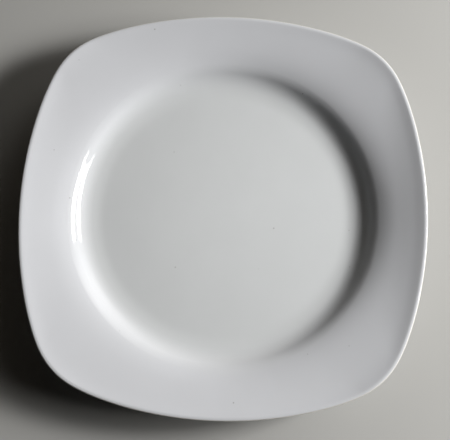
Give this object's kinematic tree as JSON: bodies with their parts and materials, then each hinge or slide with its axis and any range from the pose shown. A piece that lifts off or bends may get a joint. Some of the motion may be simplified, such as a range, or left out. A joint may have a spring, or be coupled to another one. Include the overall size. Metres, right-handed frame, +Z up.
{
  "type": "square salad plate",
  "caption": "Square salad plate of white glazed porcelain, with bulged sides, rounded corners, a wide rising rim, a round well and a round foot ring left bare where it stands.",
  "frame": {"origin": "middle of the plane that the foot ring stands on", "axes": "+Z up, out of the well; +X and +Y through the middles of two sides"},
  "size_m": [0.21, 0.21, 0.0238],
  "materials": {
    "bare_porcelain": "matte, unglazed",
    "white_glaze": "gloss"
  },
  "bodies": {
    "root": {"porcelain_body": "bare_porcelain", "glaze_coat": "white_glaze", "base_glaze": "white_glaze"}
  },
  "joints": []
}
